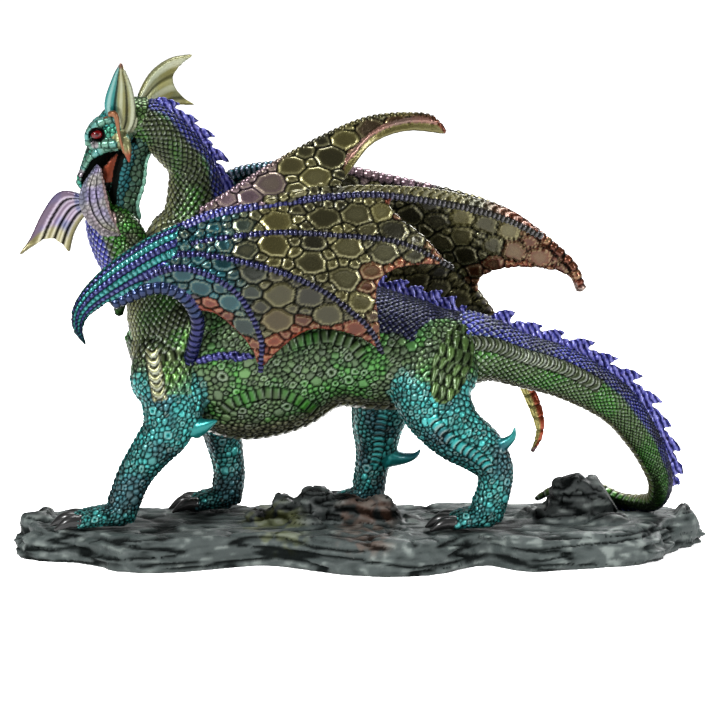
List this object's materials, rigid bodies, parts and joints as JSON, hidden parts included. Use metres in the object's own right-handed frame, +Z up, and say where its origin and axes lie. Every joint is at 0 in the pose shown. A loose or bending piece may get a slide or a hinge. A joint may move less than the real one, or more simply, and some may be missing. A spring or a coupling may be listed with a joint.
{
  "type": "dragon statue",
  "caption": "Painted resin figurine of a winged mother dragon carrying her hatchling by the scruff, standing on a long ledge of dark rock.",
  "frame": {"origin": "on the flat underside of the plinth, below the middle of the dragon's body", "axes": "+X from the dragon's head to its tail, +Y away from the side that is usually shown, +Z up"},
  "size_m": [0.3042, 0.1039, 0.2169],
  "materials": {
    "dragon_paint": "pearl paint with a dark wash, satin",
    "rock_paint": "dry-brushed slate paint, matt"
  },
  "bodies": {
    "root": {"dragon": "dragon_paint", "rock_plinth": "rock_paint"}
  },
  "joints": []
}
